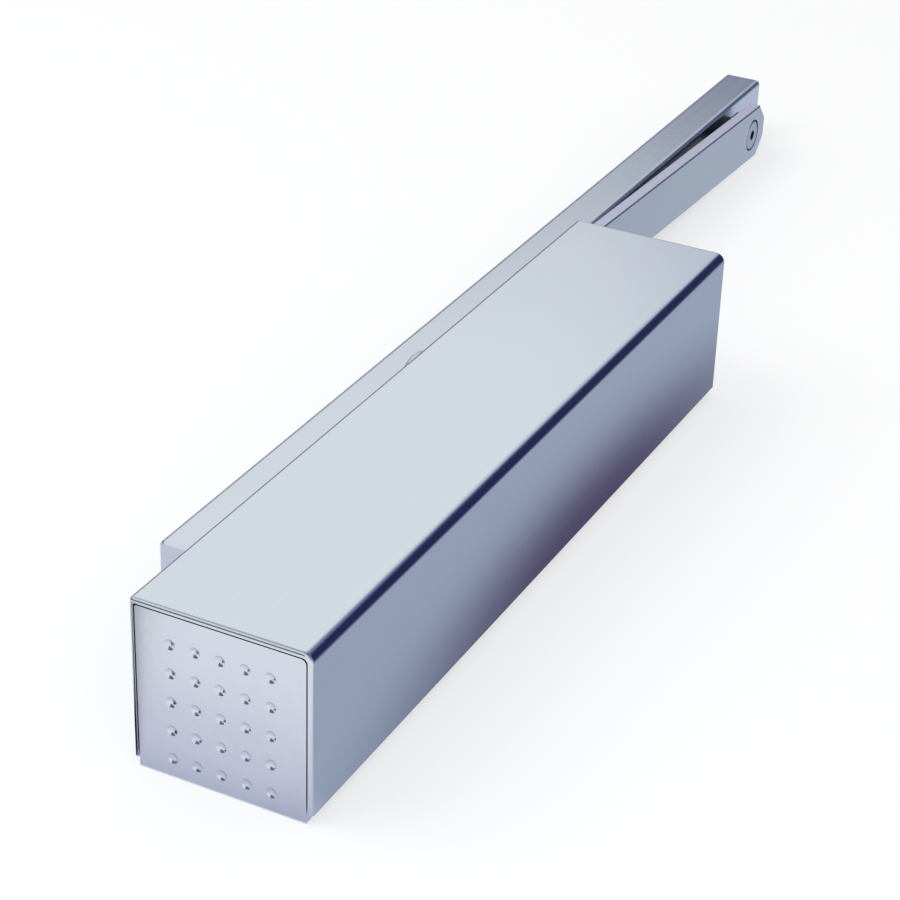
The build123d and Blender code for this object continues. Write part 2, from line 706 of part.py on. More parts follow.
# Spring clips for the cover, and their screws
pocket_floor = housing_front_z - clip_pocket_depth
clip_rest = closer_depth - cover_wall - cover_gap - clip_sheet / 2
clip_shoulder_y = housing_side - clip_shoulder_inset
clip_end_y = housing_side - clip_end_inset
with BuildPart() as cover_clips:
    for x in (clip_middle - clip_x, clip_middle + clip_x):
        with BuildSketch(Plane.YZ.offset(x - clip_width / 2)):
            with BuildLine() as clip_line:
                base = pocket_floor + clip_sheet / 2 + contact
                FilletPolyline((-clip_end_y, clip_rest - 1.4), (-clip_shoulder_y, clip_rest),
                               (-clip_base_half, base), (clip_base_half, base),
                               (clip_shoulder_y, clip_rest), (clip_end_y, clip_rest - 1.4), radius=0.9)
            trace(line_width=clip_sheet)
        extrude(amount=clip_width)
        with BuildSketch(Plane.XY.offset(pocket_floor)):
            with Locations((x, 0)):
                Circle(clip_screw_radius + seat)
        extrude(amount=2 * clip_sheet, mode=Mode.SUBTRACT)
keep("cover_clips", cover_clips.part)
with BuildPart() as clip_screws:
    for x in (clip_middle - clip_x, clip_middle + clip_x):
        head_base = pocket_floor + clip_sheet + 2 * contact
        with BuildSketch(Plane.XY.offset(pocket_floor - clip_screw_length + contact)):
            with Locations((x, 0)):
                Circle(clip_screw_radius)
        extrude(amount=clip_screw_length + clip_sheet + contact)
        with BuildSketch(Plane.XY.offset(head_base)):
            with Locations((x, 0)):
                Circle(clip_screw_head_radius)
        extrude(amount=clip_screw_head)
        with BuildSketch(Plane.XY.offset(head_base + clip_screw_head)):
            with Locations((x, 0)):
                Rectangle(2 * clip_screw_radius, 0.8)
                Rectangle(0.8, 2 * clip_screw_radius)
        extrude(amount=-1, mode=Mode.SUBTRACT)
keep("clip_screws", clip_screws.part)

# Arm, drawn along its own length from the spindle to the pivot
arm_plane = Plane(origin=(spindle_x, arm_bottom_y, axis_z), x_dir=arm_direction, z_dir=(0, 1, 0))
with BuildPart() as arm:
    with BuildSketch(arm_plane) as arm_outline:
        tip = arm_length + arm_tip_length
        half = arm_width / 2
        with BuildLine():
            Polyline((0, -half), (tip - arm_tip_chamfer, -half), (tip, -half + arm_tip_chamfer),
                     (tip, half - arm_tip_chamfer), (tip - arm_tip_chamfer, half), (0, half), close=True)
        make_face()
        fillet(arm_outline.vertices().group_by(Axis.X)[-1], arm_tip_radius)
        Circle(arm_hub_radius)
    extrude(amount=arm_thickness)
    fillet(arm.faces().filter_by(Axis.Y).edges(), arm_edge_radius)
    with BuildSketch(arm_plane):
        square_turn = degrees(atan2(axis_z - pivot_z, pivot_x - spindle_x))
        with Locations(Location((0, 0, 0), (0, 0, -square_turn))):
            Rectangle(arm_square + 2 * square_clearance, arm_square + 2 * square_clearance)
        with Locations((arm_length, 0)):
            Circle(pivot_screw_radius + running + bush_wall + seat)
    extrude(amount=arm_thickness, mode=Mode.SUBTRACT)
    with BuildSketch(arm_plane):
        with Locations((arm_length, 0)):
            Circle(pivot_recess_radius)
    extrude(amount=pivot_recess_depth, mode=Mode.SUBTRACT)
keep("arm", arm.part)

with BuildPart() as arm_screw:
    with BuildSketch(spindle_plane.offset(arm_top_y + contact)):
        Circle(arm_screw_head_radius)
    extrude(amount=arm_screw_head)
    fillet(arm_screw.faces().sort_by(Axis.Y)[-1].edges(), 1)
    with BuildSketch(spindle_plane.offset(arm_top_y + contact)):
        Circle(spindle_thread_radius)
    extrude(amount=-arm_screw_length)
    with BuildSketch(spindle_plane.offset(arm_top_y + contact + arm_screw_head)):
        RegularPolygon(hex_key_large / 2, 6, major_radius=False)
    extrude(amount=-arm_screw_head + 0.8, mode=Mode.SUBTRACT)
keep("arm_screw", arm_screw.part)

# Pivot at the end of the arm: a flanged bush in the arm, and the shoulder screw from below
pivot_plane = Plane(origin=(pivot_x, 0, pivot_z), x_dir=(1, 0, 0), z_dir=(0, 1, 0))
recess_top = arm_bottom_y + pivot_recess_depth
with BuildPart() as pivot_bush:
    with BuildSketch(pivot_plane.offset(recess_top + contact)):
        Circle(pivot_screw_radius + running + bush_wall)
    extrude(amount=arm_top_y + bush_flange - recess_top - contact)
    with BuildSketch(pivot_plane.offset(arm_top_y + contact)):
        Circle(bush_flange_radius)
    extrude(amount=bush_flange - contact)
    with BuildSketch(pivot_plane.offset(recess_top)):
        Circle(pivot_screw_radius + running)
    extrude(amount=arm_thickness, mode=Mode.SUBTRACT)
keep("pivot_bush", pivot_bush.part)

cavity_bottom = rail_bottom_y + rail_lip
cavity_top = rail_top_y - rail_top_wall
cavity_half = rail_middle_z - rail_side_wall
block_low = cavity_bottom + block_side_gap
block_high = cavity_top - block_side_gap
screw_top = block_high - 2
with BuildPart() as pivot_screw:
    with BuildSketch(pivot_plane.offset(recess_top - contact - pivot_head)):
        Circle(pivot_head_radius)
    extrude(amount=pivot_head)
    fillet(pivot_screw.faces().sort_by(Axis.Y)[0].edges(), 0.6)
    with BuildSketch(pivot_plane.offset(recess_top - contact)):
        Circle(pivot_screw_radius)
    extrude(amount=screw_top - recess_top + contact)
    with BuildSketch(pivot_plane.offset(recess_top - contact - pivot_head)):
        RegularPolygon(hex_key_small / 2, 6, major_radius=False)
    extrude(amount=pivot_head + 1.2, mode=Mode.SUBTRACT)
keep("pivot_screw", pivot_screw.part)

# Slide block in the rail, with plastic shoes at both ends
with BuildPart() as slide_block:
    with BuildSketch(pivot_plane.offset(block_low)):
        Rectangle(2 * block_half_length, 2 * (cavity_half - block_side_gap))
    extrude(amount=block_high - block_low)
    fillet(slide_block.edges().filter_by(Axis.X), 0.8)
    with BuildSketch(pivot_plane.offset(arm_top_y + bush_flange + contact)):
        Circle(neck_radius)
    extrude(amount=block_low - arm_top_y - bush_flange)
    with BuildSketch(pivot_plane.offset(arm_top_y)):
        Circle(pivot_screw_radius + seat)
    extrude(amount=screw_top - arm_top_y + 0.5, mode=Mode.SUBTRACT)
    block_middle = Plane(origin=(pivot_x, (block_low + block_high) / 2, pivot_z), x_dir=(0, 1, 0), z_dir=(1, 0, 0))
    for side in (-1, 1):
        with BuildSketch(block_middle.offset(side * block_half_length)):
            Circle(shoe_peg_radius + seat)
        extrude(amount=-side * (shoe_peg_length + 0.2), mode=Mode.SUBTRACT)
keep("slide_block", slide_block.part)
with BuildPart() as slide_shoes:
    for side in (-1, 1):
        with BuildSketch(block_middle.offset(side * (block_half_length + contact))):
            RectangleRounded(cavity_top - cavity_bottom - 2 * shoe_side_gap,
                             2 * (cavity_half - shoe_side_gap), 0.8)
        extrude(amount=side * shoe_length)
        with BuildSketch(block_middle.offset(side * (block_half_length + contact))):
            Circle(shoe_peg_radius)
        extrude(amount=-side * shoe_peg_length)
keep("slide_shoes", slide_shoes.part)

# Slide rail: an open channel with its slot facing down to the arm
profile_start = rail_start_x + rail_cap_length
profile_end = rail_end_x - rail_cap_length
with BuildPart() as slide_rail:
    with BuildSketch(Plane.YZ.offset(profile_start)) as rail_section:
        with Locations((rail_middle_y, rail_middle_z)):
            RectangleRounded(rail_height, rail_depth, rail_edge_radius)
        with Locations((cavity_bottom, rail_middle_z)):
            Rectangle(cavity_top - cavity_bottom, 2 * cavity_half, align=(Align.MIN, Align.CENTER),
                      mode=Mode.SUBTRACT)
        with Locations((rail_bottom_y, rail_middle_z)):
            Rectangle(2 * rail_lip, rail_slot_width, align=(Align.CENTER, Align.CENTER),
                      mode=Mode.SUBTRACT)
    extrude(amount=profile_end - profile_start)
keep("slide_rail", slide_rail.part)

# Both ends of the rail: bracket, its grub screw, and the cap over the fixing screw
for end_name, joint_x, side in (("near", profile_start, -1), ("far", profile_end, 1)):
    outside = Plane(origin=(joint_x, 0, 0), x_dir=(0, 1, 0), z_dir=(1, 0, 0))
    hole_x = joint_x + side * (rail_cap_length - rail_hole_from_end)
    grub_x = joint_x - side * bracket_insert / 2
    with BuildPart() as bracket:
        with BuildSketch(outside.offset(-side * bracket_insert)):
            with Locations(((cavity_bottom + cavity_top) / 2, rail_middle_z)):
                Rectangle(cavity_top - cavity_bottom - 2 * bracket_gap, 2 * (cavity_half - bracket_gap))
        extrude(amount=side * bracket_insert)
        with BuildSketch(outside):
            with Locations(((cavity_bottom + cavity_top) / 2, 0)):
                Rectangle(cavity_top - cavity_bottom - 2 * bracket_gap,
                          rail_side_wall + bracket_gap + tongue_thickness, align=(Align.CENTER, Align.MIN))
        extrude(amount=side * tongue_length)
        with BuildSketch(outside):
            with Locations(((cavity_bottom + cavity_top) / 2, tongue_thickness)):
                Rectangle(rail_height, rail_depth, align=(Align.CENTER, Align.MIN))
        extrude(amount=side * tongue_length, mode=Mode.SUBTRACT)
        with BuildSketch(outside):
            with Locations(((cavity_bottom + cavity_top) / 2, rail_side_wall + bracket_gap)):
                Rectangle(cavity_top - cavity_bottom - 2 * bracket_gap,
                          2 * (cavity_half - bracket_gap), align=(Align.CENTER, Align.MIN))
        extrude(amount=side * bracket_web)
        with Locations(Plane(origin=(hole_x, rail_middle_y, tongue_thickness), x_dir=(1, 0, 0), z_dir=(0, 0, 1))):
            CounterSinkHole(rail_hole_radius, rail_countersink_radius, counter_sink_angle=countersink_angle)
        with BuildSketch(Plane(origin=(grub_x, cavity_bottom, rail_middle_z), x_dir=(1, 0, 0), z_dir=(0, 1, 0))):
            Circle(grub_radius + seat)
        extrude(amount=cavity_top - cavity_bottom, mode=Mode.SUBTRACT)
    keep("rail_bracket_" + end_name, bracket.part)

    with BuildPart() as rail_cap:
        with BuildSketch(outside):
            with Locations((rail_middle_y, rail_middle_z)):
                RectangleRounded(rail_height, rail_depth, rail_edge_radius)
        extrude(amount=side * rail_cap_length)
        chamfer(rail_cap.faces().sort_by(Axis.X)[0 if side < 0 else -1].edges(), rail_cap_chamfer)
        with BuildSketch(outside):
            with Locations((rail_middle_y, rail_cap_wall)):
                Rectangle(rail_height - 2 * rail_cap_wall, rail_depth - 2 * rail_cap_wall,
                          align=(Align.CENTER, Align.MIN))
            with Locations((rail_middle_y, 0)):
                Rectangle(rail_height - 2 * rail_cap_wall, rail_depth / 2, align=(Align.CENTER, Align.MIN))
        extrude(amount=side * (rail_cap_length - rail_cap_wall), mode=Mode.SUBTRACT)
    keep("rail_end_cap_" + end_name, rail_cap.part)

with BuildPart() as grub_screws:
    for joint_x, side in ((profile_start, -1), (profile_end, 1)):
        grub_x = joint_x - side * bracket_insert / 2
        grub_plane = Plane(origin=(grub_x, cavity_bottom + bracket_gap, rail_middle_z), x_dir=(1, 0, 0),
                           z_dir=(0, 1, 0))
        with BuildSketch(grub_plane):
            Circle(grub_radius)
            RegularPolygon(grub_socket, 6, major_radius=False, mode=Mode.SUBTRACT)
        extrude(amount=3)
        with BuildSketch(grub_plane.offset(3)):
            Circle(grub_radius)
        extrude(amount=cavity_top - cavity_bottom - bracket_gap - 3 - contact)
keep("rail_grub_screws", grub_screws.part)

# Strips pressed between the lips at both ends of the slot, open for the key of the grub screw
with BuildPart() as slot_covers:
    for joint_x, side in ((profile_start, -1), (profile_end, 1)):
        with BuildSketch(Plane(origin=(joint_x, rail_bottom_y, rail_middle_z), x_dir=(1, 0, 0), z_dir=(0, 1, 0))):
            Rectangle(slot_cover_length, rail_slot_width - 2 * seat,
                      align=(Align.MAX if side > 0 else Align.MIN, Align.CENTER))
            with Locations((-side * bracket_insert / 2, 0)):
                Circle(grub_radius, mode=Mode.SUBTRACT)
        extrude(amount=rail_lip)
keep("rail_slot_covers", slot_covers.part)

# Rubber stop inside the near end of the rail
with BuildPart() as rail_buffer:
    buffer_plane = Plane(origin=(profile_start + bracket_insert + contact, (cavity_bottom + cavity_top) / 2,
                                 rail_middle_z), x_dir=(0, 1, 0), z_dir=(1, 0, 0))
    with BuildSketch(buffer_plane):
        RectangleRounded(cavity_top - cavity_bottom - 2 * bracket_gap, 2 * (cavity_half - bracket_gap), 1)
    extrude(amount=buffer_thickness / 2)
    with BuildSketch(buffer_plane.offset(buffer_thickness / 2)):
        Circle(buffer_dome_radius)
    extrude(amount=buffer_thickness / 2, taper=20)
keep("rail_buffer", rail_buffer.part)

for name, piece in pieces.items():
    export_step(piece, f"parts/{name}.step")
print(len(pieces), "pieces; spindle x", spindle_x, "pivot x", round(pivot_x, 3),
      "travel per radian", round(cam_rate, 5), "damper roller x", round(damper_roller_x, 2))
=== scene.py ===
import json
import math

import bpy
from mathutils import Matrix, Vector

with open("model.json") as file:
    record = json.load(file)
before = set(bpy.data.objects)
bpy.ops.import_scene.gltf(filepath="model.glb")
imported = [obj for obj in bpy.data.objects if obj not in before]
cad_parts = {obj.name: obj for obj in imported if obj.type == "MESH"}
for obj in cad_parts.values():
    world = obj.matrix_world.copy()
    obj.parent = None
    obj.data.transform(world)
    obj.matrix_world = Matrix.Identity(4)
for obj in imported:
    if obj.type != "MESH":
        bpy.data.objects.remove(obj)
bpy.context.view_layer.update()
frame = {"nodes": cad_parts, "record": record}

# Slide rail door closer, lying on its back on a pale floor, seen from its dimpled end.
# The finishes are guesses for a bright metal product. Their tones and the sheets that they
# reflect were fitted together, to match the photograph from its own side.
nodes = frame["nodes"]
print("closer loaded:", len(nodes), "pieces")

mm = 0.001  # one millimetre in the scene's metres


# #rrggbb as it looks on a screen, turned into linear light
def hexColour(code):
    channels = [int(code[i:i + 2], 16) / 255 for i in (1, 3, 5)]
    linear = [c / 12.92 if c <= 0.04045 else ((c + 0.055) / 1.055) ** 2.4 for c in channels]
    return (*linear, 1.0)


white = hexColour("#ffffff")


# one node with its settings; sockets are numbers, colours or other sockets to link
def addNode(tree, kind, settings=None, **sockets):
    node = tree.nodes.new(kind)
    for key, value in (settings or {}).items():
        setattr(node, key, value)
    for key, value in sockets.items():
        target = node.inputs[int(key[1:]) if key[1:].isdigit() else key.replace("_", " ")]
        if isinstance(value, bpy.types.NodeSocket):
            tree.links.new(value, target)
        else:
            target.default_value = value
    return node


# the nodes of a new material or world, with nothing in them yet
def emptyTree(owner):
    owner.use_nodes = True
    owner.node_tree.nodes.clear()
    return owner.node_tree


# What all worked surfaces share: detail and roughness of each noise, the part of its range
# that counts, and how far a face leans or looks up before its own tone sets in
working = {
    "drift": (2.0, 0.4), "grain": (3.0, 0.55), "tooth": (2.0, 0.6),
    "streakRange": (0.3, 0.7), "marksRange": (0.7, 1.3),
    "foldLean": (0.12, 0.42), "topFacing": (0.8, 0.98)}


# A worked surface: two tones that drift into each other, a grain from the tool or mould, and
# a finer tooth. drift, grain and tooth are sizes in millimetres, grain and tooth along x, y
# and z. Real ones are finer than a pixel, so they are drawn as coarse as they need to show.
def workedSurface(look):
    material = bpy.data.materials.new(look["name"])
    tree = emptyTree(material)
    coordinates = addNode(tree, "ShaderNodeTexCoord").outputs
    place = coordinates["Object"]
    detail, coarseness = working["drift"]
    drift = addNode(tree, "ShaderNodeTexNoise", Vector=place, Scale=1 / (look["drift"] * mm),
                    Detail=detail, Roughness=coarseness)
    marks = []
    for pattern in ("grain", "tooth"):
        detail, coarseness = working[pattern]
        stretched = addNode(tree, "ShaderNodeMapping", Vector=place,
                            Scale=[1 / (size * mm) for size in look[pattern]])
        mark = addNode(tree, "ShaderNodeTexNoise", Vector=stretched.outputs["Vector"],
                       Scale=1.0, Detail=detail, Roughness=coarseness)
        marks.append(mark.outputs["Fac"])
    grain, tooth = marks

    tones = addNode(tree, "ShaderNodeMix", {"data_type": "RGBA"}, i0=drift.outputs["Fac"],
                    i6=hexColour(look["tones"][0]), i7=hexColour(look["tones"][1]))
    low, high = working["streakRange"]
    streak = addNode(tree, "ShaderNodeMapRange", Value=grain, From_Min=low, From_Max=high,
                     To_Min=1 - look["streak"], To_Max=1.0)
    colour = addNode(tree, "ShaderNodeMix", {"data_type": "RGBA", "blend_type": "MULTIPLY"},
                     i0=1.0, i6=tones.outputs[2], i7=streak.outputs["Result"]).outputs[2]
    both = addNode(tree, "ShaderNodeMath", {"operation": "ADD"}, i0=grain, i1=tooth)
    low, high = working["marksRange"]
    roughness = addNode(tree, "ShaderNodeMapRange", Value=both.outputs["Value"], From_Min=low,
                        From_Max=high, To_Min=look["rough"][0],
                        To_Max=look["rough"][1]).outputs["Result"]

    if "foldReflectionTone" in look:
        # between the flat sides of a fold the normal leans both ways at once. There a darker
        # tone is painted in, a painted reflection of dark surroundings
        normal = addNode(tree, "ShaderNodeSeparateXYZ", Vector=coordinates["Normal"]).outputs
        sideways = addNode(tree, "ShaderNodeMath", {"operation": "ABSOLUTE"}, i0=normal["Y"])
        leaning = addNode(tree, "ShaderNodeMath", {"operation": "MULTIPLY"},
                          i0=sideways.outputs[0], i1=normal["Z"])
        low, high = working["foldLean"]
        foldReflectionShare = addNode(tree, "ShaderNodeMapRange", {"interpolation_type": "SMOOTHSTEP"},
                         Value=leaning.outputs[0], From_Min=low, From_Max=high)
        colour = addNode(tree, "ShaderNodeMix", {"data_type": "RGBA"}, i0=foldReflectionShare.outputs[0],
                         i6=colour, i7=hexColour(look["foldReflectionTone"])).outputs[2]
    if "paintedTopLight" in look:
        # the narrow faces that look up: rougher, and painted paler, a painted highlight of
        # light from above
        normal = addNode(tree, "ShaderNodeSeparateXYZ", Vector=coordinates["Normal"]).outputs
        low, high = working["topFacing"]
        upward = addNode(tree, "ShaderNodeMapRange", Value=normal["Z"], From_Min=low,
                         From_Max=high).outputs[0]
        colour = addNode(tree, "ShaderNodeMix", {"data_type": "RGBA"}, i0=upward, i6=colour,
                         i7=hexColour(look["paintedTopLight"])).outputs[2]
        roughness = addNode(tree, "ShaderNodeMix", i0=upward, i2=roughness,
                            i3=look["topRough"]).outputs[0]

    relief = addNode(tree, "ShaderNodeBump", Height=both.outputs["Value"], Strength=1.0,
                     Distance=look["relief"] * mm)
    shader = addNode(tree, "ShaderNodeBsdfPrincipled", Base_Color=colour, Roughness=roughness,
                     Normal=relief.outputs["Normal"])
    for socket, value in look["shader"].items():
        shader.inputs[socket].default_value = value
    addNode(tree, "ShaderNodeOutputMaterial", Surface=shader.outputs["BSDF"])
    return material


bareMetal = {"Metallic": 1.0}
finishes = {
    # stainless sheet, linished along its length and electropolished: soft bright planes with a
    # cool tint. Its folds carry a painted reflection, a darker tone that keeps the dark line
    # along the cover's long edge. Its folds are toned darker, a guess that keeps the dark line
    # along the cover's long edge
    "satin_cover": {
        "name": "satinStainlessSheet", "tones": ("#d0d8e2", "#d8e0e7"), "drift": 130,
        "grain": (45, 0.9, 0.9), "tooth": (1.4, 0.7, 0.7), "streak": 0.03,
        "rough": (0.15, 0.21), "relief": 0.0012, "shader": bareMetal, "foldReflectionTone": "#6c7096"},
    # die cast aluminium cap, bead blasted and lacquered: even, and close to the sheet in tone
    "satin_cap": {
        "name": "blastedAluminiumCap", "tones": ("#cfd6e3", "#d7dee7"), "drift": 70,
        "grain": (3.0, 3.0, 3.0), "tooth": (0.8, 0.8, 0.8), "streak": 0.03,
        "rough": (0.14, 0.2), "relief": 0.0006, "shader": bareMetal},
    # flat bar steel, ground lengthwise and nickel plated: a little darker than the cover. Its
    # narrow upward edge is duller, a guess, and painted paler, a painted highlight that gives
    # the pale strip along the arm
    "satin_arm": {
        "name": "groundNickelledBar", "tones": ("#b9c3d0", "#c8ced9"), "drift": 90,
        "grain": (40, 0.8, 0.8), "tooth": (1.2, 0.6, 0.6), "streak": 0.05,
        "rough": (0.18, 0.25), "relief": 0.0015, "shader": bareMetal,
        "paintedTopLight": "#e3e4f2", "topRough": 0.5},
    # extruded and anodised aluminium: faint die lines along the whole rail
    "anodised_rail": {
        "name": "anodisedExtrusion", "tones": ("#d1d9e2", "#d9e0e8"), "drift": 160,
        "grain": (220, 0.9, 0.9), "tooth": (1.0, 0.5, 0.5), "streak": 0.04,
        "rough": (0.18, 0.25), "relief": 0.0015, "shader": bareMetal},
    # turned screw, bright nickel: a small shiny head with a fine speckle
    "nickel_screw": {
        "name": "brightNickelTurning", "tones": ("#a9aebb", "#c1c5cf"), "drift": 6,
        "grain": (0.5, 4.0, 0.5), "tooth": (0.4, 0.4, 0.4), "streak": 0.06,
        "rough": (0.16, 0.26), "relief": 0.003, "shader": bareMetal},
    # bright zinc on pressed and cold headed steel: bluish, slightly cloudy
    "zinc_steel": {
        "name": "brightZincPlate", "tones": ("#aeb6bf", "#c9ccc9"), "drift": 9,
        "grain": (2.2, 2.2, 2.2), "tooth": (0.5, 0.5, 0.5), "streak": 0.08,
        "rough": (0.28, 0.44), "relief": 0.006, "shader": bareMetal},
    # pressure die casting, tumbled: dull with a pebbled skin
    "cast_aluminium": {
        "name": "tumbledDieCasting", "tones": ("#8f9295", "#a6a8aa"), "drift": 22,
        "grain": (1.6, 1.6, 1.6), "tooth": (0.6, 0.6, 0.6), "streak": 0.12,
        "rough": (0.45, 0.6), "relief": 0.02, "shader": bareMetal},
    # lathe work in aluminium: fine rings round the bore's axis, so the grain is narrow along x
    "turned_aluminium": {
        "name": "turnedAluminium", "tones": ("#a9acb1", "#bfc1c4"), "drift": 14,
        "grain": (0.35, 5.0, 5.0), "tooth": (0.4, 0.8, 0.8), "streak": 0.08,
        "rough": (0.24, 0.36), "relief": 0.005, "shader": bareMetal},
    # hardened and ground steel: nearly mirror bright, with faint lines along y
    "ground_steel": {
        "name": "hardGroundSteel", "tones": ("#a4a6aa", "#bbbcbf"), "drift": 12,
        "grain": (0.6, 6.0, 0.6), "tooth": (0.5, 0.5, 0.5), "streak": 0.05,
        "rough": (0.18, 0.28), "relief": 0.003, "shader": bareMetal},
    # lapped bearing steel: the brightest and smoothest of the steels
    "polished_steel": {
        "name": "lappedBearingSteel", "tones": ("#bfc2c6", "#cfd1d4"), "drift": 10,
        "grain": (1.5, 1.5, 1.5), "tooth": (0.5, 0.5, 0.5), "streak": 0.03,
        "rough": (0.10, 0.16), "relief": 0.001, "shader": bareMetal},
    # oil tempered spring wire: blue black scale with a sheen of oil
    "spring_steel": {
        "name": "oilTemperedWire", "tones": ("#4b4e57", "#666a72"), "drift": 5,
        "grain": (1.2, 1.2, 1.2), "tooth": (0.4, 0.4, 0.4), "streak": 0.15,
        "rough": (0.30, 0.42), "relief": 0.008,
        "shader": {**bareMetal, "Coat Weight": 0.3, "Coat Roughness": 0.1}},
    # turned free cutting brass: warm, with rings round the valves' axis
    "valve_brass": {
        "name": "turnedBrass", "tones": ("#b9944e", "#cfae69"), "drift": 4,
        "grain": (3.0, 3.0, 0.3), "tooth": (0.3, 0.3, 0.3), "streak": 0.08,
        "rough": (0.20, 0.32), "relief": 0.004, "shader": bareMetal},
    # moulded nitrile rubber: matt, with a dusting
    "black_rubber": {
        "name": "mouldedNitrile", "tones": ("#17181a", "#222326"), "drift": 8,
        "grain": (1.0, 1.0, 1.0), "tooth": (0.4, 0.4, 0.4), "streak": 0.15,
        "rough": (0.62, 0.78), "relief": 0.012, "shader": {"IOR": 1.52}},
    # filled PTFE seal strip: dark and waxy
    "seal_plastic": {
        "name": "filledSealStrip", "tones": ("#2a2c30", "#36383d"), "drift": 8,
        "grain": (2.0, 2.0, 2.0), "tooth": (0.5, 0.5, 0.5), "streak": 0.08,
        "rough": (0.45, 0.55), "relief": 0.004, "shader": {"IOR": 1.38}},
    # moulded acetal from a spark eroded mould: black with a silky tooth
    "slide_plastic": {
        "name": "mouldedAcetal", "tones": ("#1c1d21", "#26282d"), "drift": 15,
        "grain": (1.4, 1.4, 1.4), "tooth": (0.35, 0.35, 0.35), "streak": 0.08,
        "rough": (0.38, 0.48), "relief": 0.006, "shader": {"IOR": 1.48}},
}
materials = {slot: workedSurface(look) for slot, look in finishes.items()}
slotOf = {part["node"]: part["material_slot"] for part in frame["record"]["subparts"]}
for name, node in nodes.items():
    node.data.materials.clear()
    node.data.materials.append(materials[slotOf[name]])
print("finishes laid on:", len(finishes))

# Short seams in the caps' dimples and at the arm's hub, softened by a rounding. Widths are in
# millimetres, the angle in degrees. All other edges are as the CAD has them
edgeRounding = {
    "segments": 2, "angle": 40,
    "widths": {"spring_end_cap": 0.25, "damper_end_cap": 0.25, "arm": 0.2}}
for name, width in edgeRounding["widths"].items():
    rounding = nodes[name].modifiers.new("edgeRounding", "BEVEL")
    rounding.width = width * mm
    rounding.segments = edgeRounding["segments"]
    rounding.limit_method = "ANGLE"
    rounding.angle_limit = math.radians(edgeRounding["angle"])
    rounding.harden_normals = True
print("seams softened on:", len(edgeRounding["widths"]), "pieces")


# floor and sheets stand round the closer and aren't part of it
def stageObject(name, corners, faces):
    mesh = bpy.data.meshes.new(name)
    mesh.from_pydata(corners, [], faces)
    thing = bpy.data.objects.new(name, mesh)
    bpy.context.scene.collection.objects.link(thing)
    return thing


def flatSheet(name, reach, height):
    corners = [(-reach, -reach, height), (reach, -reach, height),
               (reach, reach, height), (-reach, reach, height)]
    return stageObject(name, corners, [(0, 1, 2, 3)])


# 1 for rays straight from the camera and in gloss and glass, where the ground looks white
def seenDirectly(tree):
    rays = addNode(tree, "ShaderNodeLightPath").outputs
    either = addNode(tree, "ShaderNodeMath", {"operation": "MAXIMUM"},
                     i0=rays["Is Camera Ray"], i1=rays["Is Glossy Ray"])
    return addNode(tree, "ShaderNodeMath", {"operation": "MAXIMUM"}, i0=either.outputs[0],
                   i1=rays["Is Transmission Ray"]).outputs[0]


# Matt pale floor, a little below the closer's back. It glows by itself in part, and wholly
# from fade[1] metres on, where it meets the background
floor = {"reach": 3.0, "drop": 0.2, "tone": "#f3f4f6", "ownLight": 0.6, "fade": (0.9, 2.6)}
floorPaint = bpy.data.materials.new("mattStudioFloor")
tree = emptyTree(floorPaint)
place = addNode(tree, "ShaderNodeTexCoord").outputs["Object"]
away = addNode(tree, "ShaderNodeVectorMath", {"operation": "LENGTH"}, i0=place)
ownLight = addNode(tree, "ShaderNodeMapRange", {"interpolation_type": "SMOOTHSTEP"},
                   Value=away.outputs["Value"], From_Min=floor["fade"][0],
                   From_Max=floor["fade"][1], To_Min=floor["ownLight"], To_Max=1.0)
share = addNode(tree, "ShaderNodeMath", {"operation": "MULTIPLY"}, i0=seenDirectly(tree),
                i1=ownLight.outputs[0])
paint = addNode(tree, "ShaderNodeBsdfDiffuse", Color=hexColour(floor["tone"]))
glow = addNode(tree, "ShaderNodeEmission", Color=white, Strength=1.0)
mixed = addNode(tree, "ShaderNodeMixShader", i0=share.outputs[0], i1=paint.outputs[0],
                i2=glow.outputs[0])
addNode(tree, "ShaderNodeOutputMaterial", Surface=mixed.outputs[0])
studioFloor = flatSheet("studioFloor", floor["reach"], -floor["drop"] * mm)
studioFloor.data.materials.append(floorPaint)

# Even light from all round, and white where it is seen
surrounding = {"strength": 0.75}
sky = bpy.data.worlds.new("paleStudio")
bpy.context.scene.world = sky
tree = emptyTree(sky)
level = addNode(tree, "ShaderNodeMapRange", Value=seenDirectly(tree),
                To_Min=surrounding["strength"], To_Max=1.0)
light = addNode(tree, "ShaderNodeBackground", Color=white, Strength=level.outputs[0])
addNode(tree, "ShaderNodeOutputWorld", Surface=light.outputs[0])


# Tints laid over white in their order. Each is full where all its edges are: an edge is a
# measure, where the tint starts and where it is full, and swapped ends turn it round
def paintSheet(tree, tints, measures):
    colour = white
    for tint in tints.values():
        within = 1.0
        for measure, start, full in tint["edges"]:
            soft = addNode(tree, "ShaderNodeMapRange", {"interpolation_type": "SMOOTHSTEP"},
                           Value=measures[measure], From_Min=start, From_Max=full)
            within = addNode(tree, "ShaderNodeMath", {"operation": "MULTIPLY"}, i0=within,
                             i1=soft.outputs[0]).outputs[0]
        blend = {"data_type": "RGBA", "blend_type": tint.get("blend", "MIX")}
        colour = addNode(tree, "ShaderNodeMix", blend, i0=within, i6=colour,
                         i7=hexColour(tint["tone"])).outputs[2]
    shining = addNode(tree, "ShaderNodeEmission", Color=colour, Strength=1.0)
    addNode(tree, "ShaderNodeOutputMaterial", Surface=shining.outputs[0])


# The sheets are there for what the metal reflects, so gloss sees them and nothing else does
def hangSheet(sheet, material):
    sheet.data.materials.append(material)
    for ray in ("camera", "diffuse", "transmission", "volume_scatter", "shadow"):
        setattr(sheet, "visible_" + ray, False)


